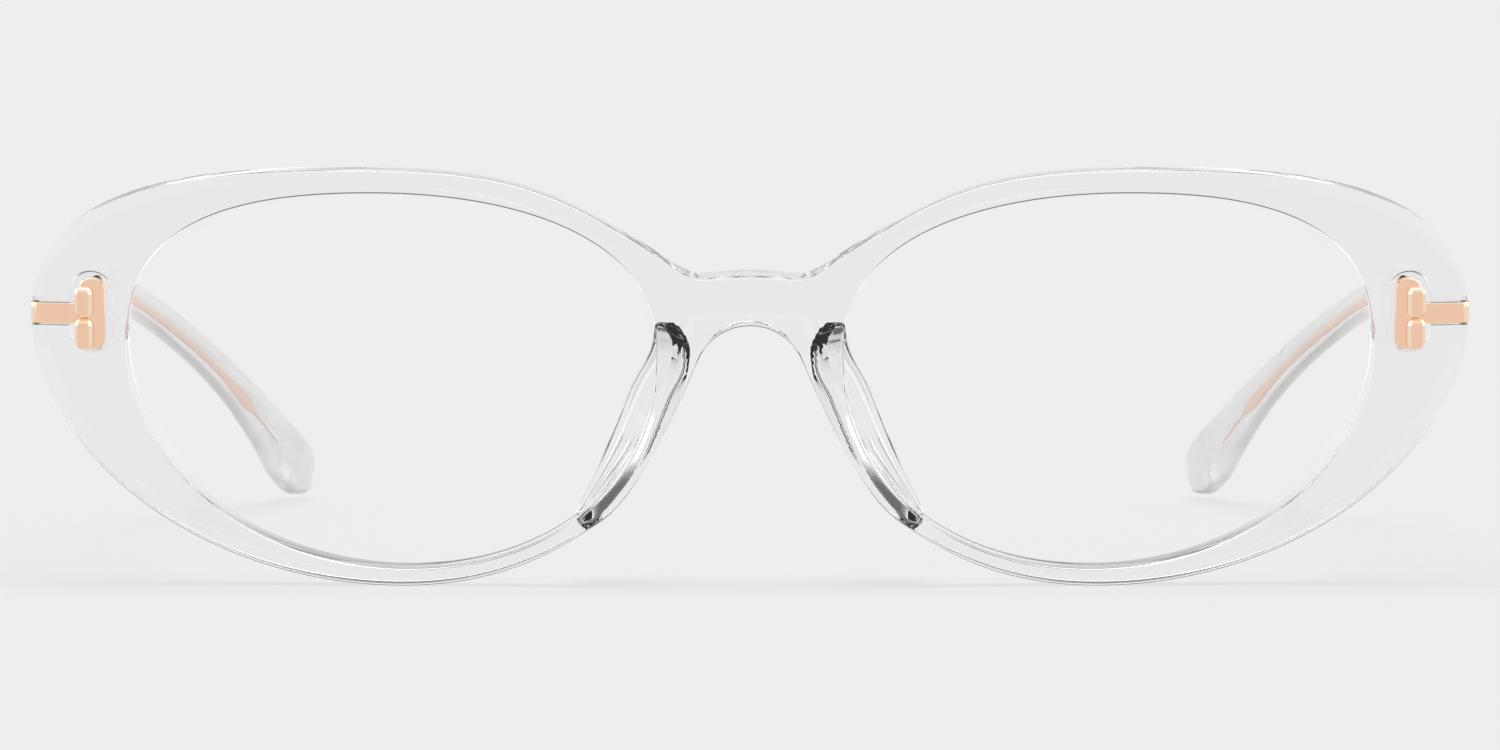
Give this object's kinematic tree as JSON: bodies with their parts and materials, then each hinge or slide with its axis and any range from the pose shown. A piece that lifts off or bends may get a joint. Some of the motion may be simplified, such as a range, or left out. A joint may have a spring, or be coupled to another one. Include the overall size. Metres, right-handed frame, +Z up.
{
  "type": "eyeglasses",
  "caption": "Oval eyeglasses with a clear acetate front and temples, metal corner trims, bonded nose pads and folding temples on screwed hinges.",
  "frame": {"origin": "on the surface the open glasses stand on, below the middle of their bounding box", "axes": "+X to the wearer's left across the front, which the glasses are symmetric about; +Y from the front along the temples; +Z up"},
  "size_m": [0.1408, 0.1436, 0.041],
  "materials": {
    "clear_acetate": "polished clear acetate",
    "clear_lens": "clear lens, polished",
    "rose_gold": "polished rose gold plate",
    "hinge_metal": "satin rose gold plate on nickel silver",
    "screw_steel": "machined stainless steel"
  },
  "bodies": {
    "front": {"front_frame": "clear_acetate", "lens_left": "clear_lens", "nose_pad_left": "clear_acetate", "corner_trim_left": "rose_gold", "trim_rivets_left": "rose_gold", "hinge_front_leaf_left": "hinge_metal", "hinge_screw_left": "screw_steel", "lens_right": "clear_lens", "nose_pad_right": "clear_acetate", "corner_trim_right": "rose_gold", "trim_rivets_right": "rose_gold", "hinge_front_leaf_right": "hinge_metal", "hinge_screw_right": "screw_steel"},
    "temple_left_arm": {"temple_left": "clear_acetate", "temple_core_left": "rose_gold", "hinge_temple_leaf_left": "hinge_metal"},
    "temple_right_arm": {"temple_right": "clear_acetate", "temple_core_right": "rose_gold", "hinge_temple_leaf_right": "hinge_metal"}
  },
  "joints": [
    {"name": "temple_left_fold", "type": "hinge", "parent": "front", "child": "temple_left_arm", "pos_m": [0.0652, -0.05942, 0.02741], "axis": [0, 0, 1], "range_deg": [0, 84]},
    {"name": "temple_right_fold", "type": "hinge", "parent": "front", "child": "temple_right_arm", "pos_m": [-0.0652, -0.05942, 0.02741], "axis": [0, 0, -1], "range_deg": [0, 77]}
  ]
}
